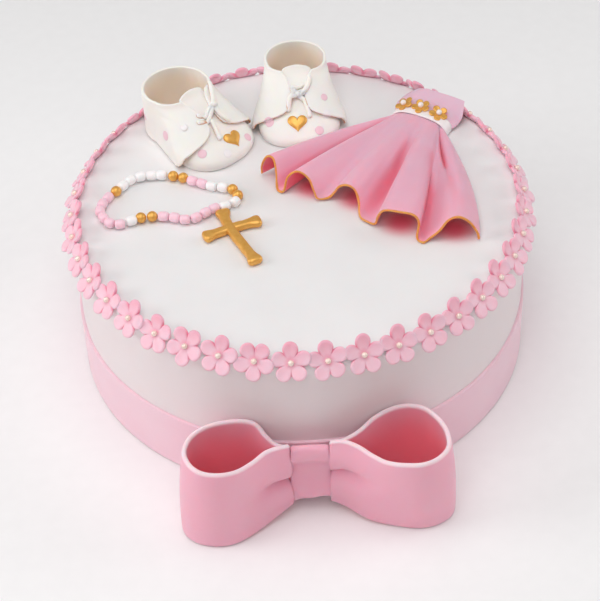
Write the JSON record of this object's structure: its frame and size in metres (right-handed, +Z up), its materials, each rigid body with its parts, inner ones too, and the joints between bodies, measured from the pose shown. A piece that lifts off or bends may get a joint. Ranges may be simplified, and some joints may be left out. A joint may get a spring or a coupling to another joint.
{
  "type": "christening cake",
  "caption": "Round white iced cake with a blossom border, a base band and a sugar bow; on top lie baby bootees, a beaded loop, a gilded cross and a small pleated dress.",
  "frame": {"origin": "centre of the cake's flat underside, on the level that the cake and its bow stand on", "axes": "+Z up; -Y is the front, where the bow stands; +X is to the right as seen from the front"},
  "size_m": [0.2658, 0.297, 0.1283],
  "materials": {
    "icing": "soft matt white icing",
    "ribbon": "matt pale pink sugar paste band",
    "bow_paste": "satin pink sugar paste",
    "blossom_paste": "matt pink flower paste with champagne pearls",
    "beads": "lustred pink, white and gold sugar beads",
    "gold": "brushed gold lustre over sugar paste",
    "dress_paste": "satin rose sugar paste with a painted gold hem",
    "bodice_paste": "satin pale lilac pink sugar paste",
    "sash_paste": "white sugar paste with gilded flowers",
    "bootee_paste": "matt ivory sugar paste"
  },
  "bodies": {
    "root": {"cake": "icing", "ribbon": "ribbon", "bow_loop_left": "bow_paste", "bow_loop_right": "bow_paste", "bow_knot": "bow_paste", "rosary": "beads", "cross": "gold", "dress_skirt": "dress_paste", "dress_bodice": "bodice_paste", "dress_sash": "sash_paste", "flower_01": "blossom_paste", "flower_02": "blossom_paste", "flower_03": "blossom_paste", "flower_04": "blossom_paste", "flower_05": "blossom_paste", "flower_06": "blossom_paste", "flower_07": "blossom_paste", "flower_08": "blossom_paste", "flower_09": "blossom_paste", "flower_10": "blossom_paste", "flower_11": "blossom_paste", "flower_12": "blossom_paste", "flower_13": "blossom_paste", "flower_14": "blossom_paste", "flower_15": "blossom_paste", "flower_16": "blossom_paste", "flower_17": "blossom_paste", "flower_18": "blossom_paste", "flower_19": "blossom_paste", "flower_20": "blossom_paste", "flower_21": "blossom_paste", "flower_22": "blossom_paste", "flower_23": "blossom_paste", "flower_24": "blossom_paste", "flower_25": "blossom_paste", "flower_26": "blossom_paste", "flower_27": "blossom_paste", "flower_28": "blossom_paste", "flower_29": "blossom_paste", "flower_30": "blossom_paste", "flower_31": "blossom_paste", "flower_32": "blossom_paste", "flower_33": "blossom_paste", "flower_34": "blossom_paste", "flower_35": "blossom_paste", "flower_36": "blossom_paste", "flower_37": "blossom_paste", "flower_38": "blossom_paste", "flower_39": "blossom_paste", "flower_40": "blossom_paste", "flower_41": "blossom_paste", "flower_42": "blossom_paste", "bootee_left_sole": "bootee_paste", "bootee_left_toe": "bootee_paste", "bootee_left_quarter": "bootee_paste", "bootee_left_laces": "bootee_paste", "bootee_right_sole": "bootee_paste", "bootee_right_toe": "bootee_paste", "bootee_right_quarter": "bootee_paste", "bootee_right_laces": "bootee_paste"}
  },
  "joints": []
}
